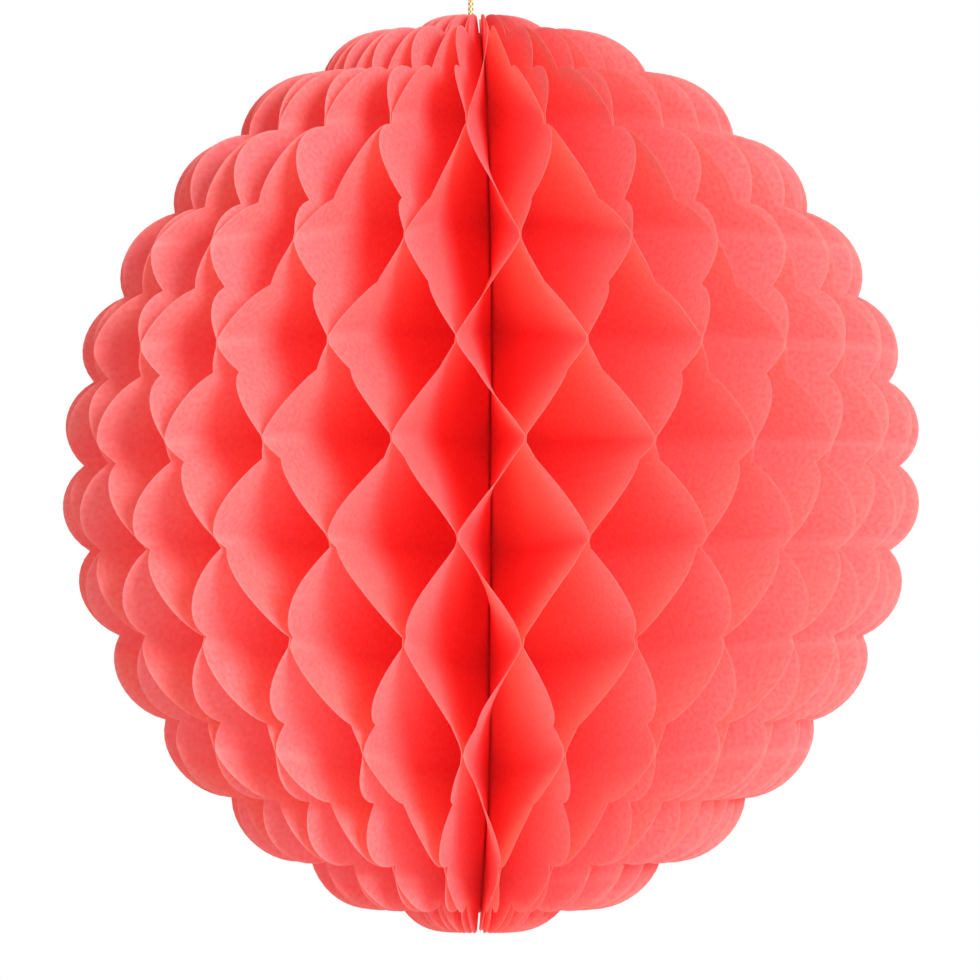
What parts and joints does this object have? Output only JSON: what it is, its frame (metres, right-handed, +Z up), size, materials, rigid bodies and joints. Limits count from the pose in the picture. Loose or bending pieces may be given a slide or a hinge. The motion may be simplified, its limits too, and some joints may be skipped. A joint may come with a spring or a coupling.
{
  "type": "honeycomb paper ball",
  "caption": "Hanging ball of scalloped tissue leaves glued in a staggered honeycomb, fanned round its spine and closed cover to cover, on a thin gold cord.",
  "frame": {"origin": "inside top of the hanging loop, where a hook or pin holds it", "axes": "+Z up along the cord, -Y towards the viewer in front of the ball, +X to that viewer's right"},
  "size_m": [0.1871, 0.1868, 0.2527],
  "materials": {
    "tissue": "matte translucent tissue paper",
    "cover_card": "matte card",
    "tape": "double-sided adhesive tape",
    "gold_cord": "braided metallic gold thread"
  },
  "bodies": {
    "root": {"honeycomb_paper": "tissue", "first_cover_card": "cover_card", "last_cover_card": "cover_card", "closing_tape": "tape", "hanging_cord": "gold_cord", "cord_knot": "gold_cord", "hang_loop": "gold_cord"}
  },
  "joints": []
}
